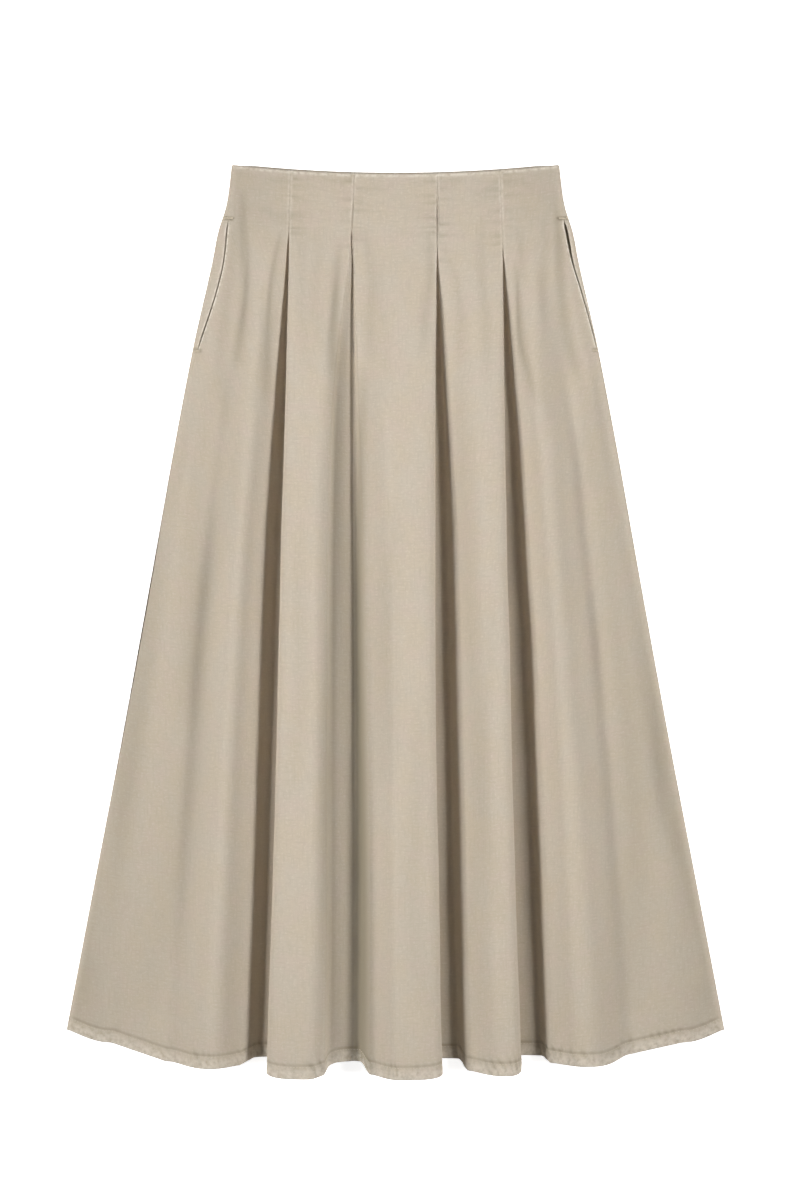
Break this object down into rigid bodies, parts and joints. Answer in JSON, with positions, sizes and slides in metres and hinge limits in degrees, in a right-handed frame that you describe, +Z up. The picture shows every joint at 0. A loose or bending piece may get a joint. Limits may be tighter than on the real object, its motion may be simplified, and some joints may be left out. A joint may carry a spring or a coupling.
{
  "type": "a-line midi skirt",
  "caption": "Stone-beige washed cotton-linen A-line midi skirt laid flat, with stitched pleats opening into deep flutes, slit side pockets and a turned, topstitched hem.",
  "frame": {"origin": "centre of the rectangle that the skirt covers, on the surface it lies on", "axes": "+Z up from the surface, out of the skirt's front; +Y towards the waist; +X to the viewer's right as the front is seen"},
  "size_m": [0.657, 0.9086, 0.0438],
  "materials": {
    "skirt_cloth": "matt washed cotton-linen twill in stone beige, softly mottled, with fine slubs",
    "pocket_cloth": "plain thin cotton pocketing, matt",
    "zip_tape": "woven polyester zip tape",
    "zip_metal": "cast zinc slider, painted to match the cloth"
  },
  "bodies": {
    "root": {"front_panel": "skirt_cloth", "back_left": "skirt_cloth", "back_right": "skirt_cloth", "pocket_bag_left": "pocket_cloth", "pocket_bag_right": "pocket_cloth", "zip_tape": "zip_tape", "zip_slider": "zip_metal"}
  },
  "joints": []
}
